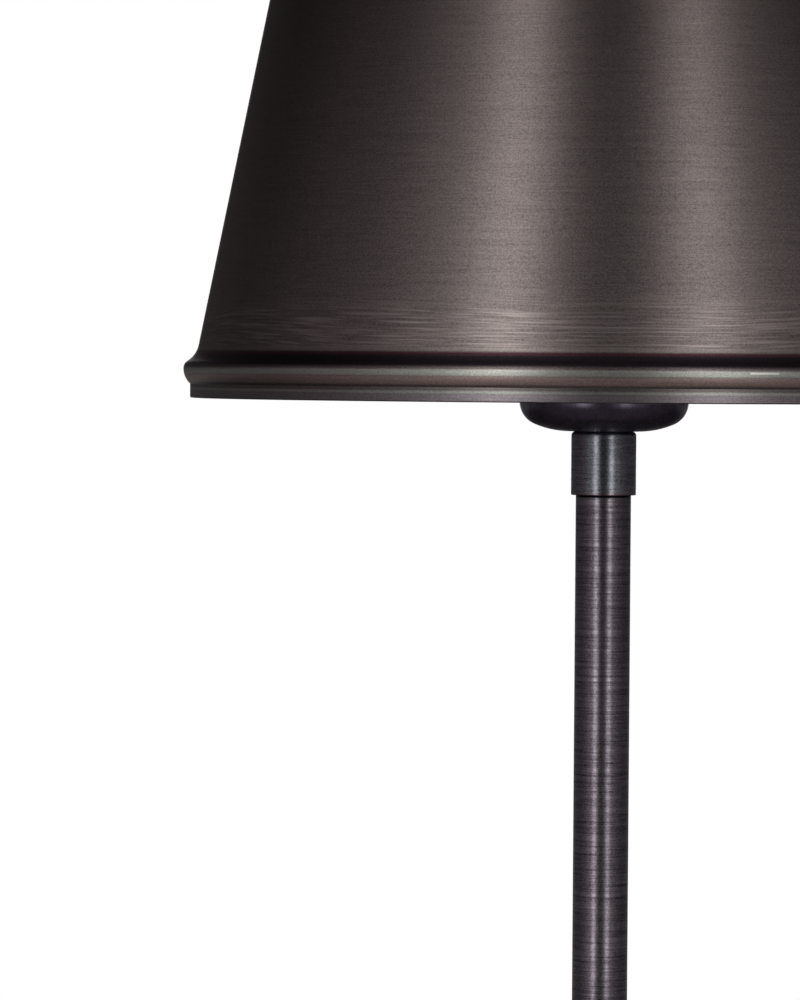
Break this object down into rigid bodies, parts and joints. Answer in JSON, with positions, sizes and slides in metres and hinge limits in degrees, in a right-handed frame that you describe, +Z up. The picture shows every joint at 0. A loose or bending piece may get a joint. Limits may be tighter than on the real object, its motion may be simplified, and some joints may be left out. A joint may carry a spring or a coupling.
{
  "type": "buffet lamp",
  "caption": "Tall table lamp with a weighted round base, a slim tube stem, a turn-knob socket and a tapered spun metal shade held on a harp.",
  "frame": {"origin": "centre of the pad's underside, which rests on the table", "axes": "+Z up along the stem; the harp stands in the XZ plane; the switch knob points to -Y and the cord inlet to +Y"},
  "size_m": [0.2418, 0.2418, 0.7578],
  "materials": {
    "felt": "black felt",
    "cast_weight": "rough cast, black",
    "bronze_sheet": "spun sheet, brushed dark bronze",
    "bronze_shade": "spun sheet, brushed dark bronze outside",
    "bronze_turned": "turned, brushed dark bronze",
    "bronze_tube": "tube, brushed dark bronze",
    "gloss_bronze": "gloss black bronze",
    "zinc_steel": "zinc plated",
    "harp_brass": "satin brass",
    "socket_brass": "lacquered brass",
    "contact_brass": "bare brass",
    "fibre": "pressed fibre",
    "phenolic": "moulded black",
    "black_plastic": "moulded black",
    "knob_plastic": "moulded black",
    "bulb_glass": "frosted",
    "bulb_cap": "bright, rolled"
  },
  "bodies": {
    "lamp": {"base_pad": "felt", "base_weight": "cast_weight", "base_cover": "bronze_sheet", "inlet_bushing": "black_plastic", "base_washer": "zinc_steel", "base_nut": "zinc_steel", "threaded_pipe": "zinc_steel", "stem_foot": "bronze_turned", "stem_tube": "bronze_tube", "stem_collar": "bronze_turned", "socket_cup": "gloss_bronze", "cup_washer": "zinc_steel", "cup_nut": "zinc_steel", "saddle_spacer": "zinc_steel", "harp_saddle": "harp_brass", "socket_cap": "socket_brass", "set_screw": "zinc_steel", "socket_shell": "socket_brass", "socket_liner": "fibre", "switch_body": "phenolic", "screw_shell": "contact_brass", "centre_contact": "contact_brass", "terminal_left": "contact_brass", "terminal_right": "zinc_steel"},
    "knob": {"switch_shaft": "zinc_steel", "switch_knob": "knob_plastic"},
    "bulb": {"bulb_glass": "bulb_glass", "bulb_cap": "bulb_cap", "bulb_insulator": "phenolic", "bulb_tip": "contact_brass"},
    "harp": {"harp_wire": "harp_brass"},
    "left_sleeve": {"sleeve_left": "harp_brass"},
    "right_sleeve": {"sleeve_right": "harp_brass"},
    "harp_swivel": {"harp_stud": "harp_brass"},
    "shade": {"shade_body": "bronze_shade", "shade_spider": "harp_brass"},
    "finial": {"finial": "bronze_turned"}
  },
  "joints": [
    {"name": "switch_turn", "type": "hinge", "parent": "lamp", "child": "knob", "pos_m": [0, -0.02, 0.5814], "axis": [0, -1, 0], "continuous": true},
    {"name": "bulb_unscrew", "type": "slide", "parent": "lamp", "child": "bulb", "axis": [0, 0, 1], "range_m": [0, 0.027]},
    {"name": "harp_lift_out", "type": "slide", "parent": "lamp", "child": "harp", "axis": [0, 0, 1], "range_m": [0, 0.02]},
    {"name": "left_sleeve_slide", "type": "slide", "parent": "harp", "child": "left_sleeve", "axis": [0, 0, 1], "range_m": [0, 0.014]},
    {"name": "right_sleeve_slide", "type": "slide", "parent": "harp", "child": "right_sleeve", "axis": [0, 0, 1], "range_m": [0, 0.014]},
    {"name": "shade_turn", "type": "hinge", "parent": "harp", "child": "harp_swivel", "pos_m": [0, 0, 0.7307], "axis": [0, 0, 1], "continuous": true},
    {"name": "shade_lift_off", "type": "slide", "parent": "harp_swivel", "child": "shade", "axis": [0, 0, 1], "range_m": [0, 0.2]},
    {"name": "finial_unscrew", "type": "slide", "parent": "shade", "child": "finial", "axis": [0, 0, 1], "range_m": [0, 0.016]}
  ]
}
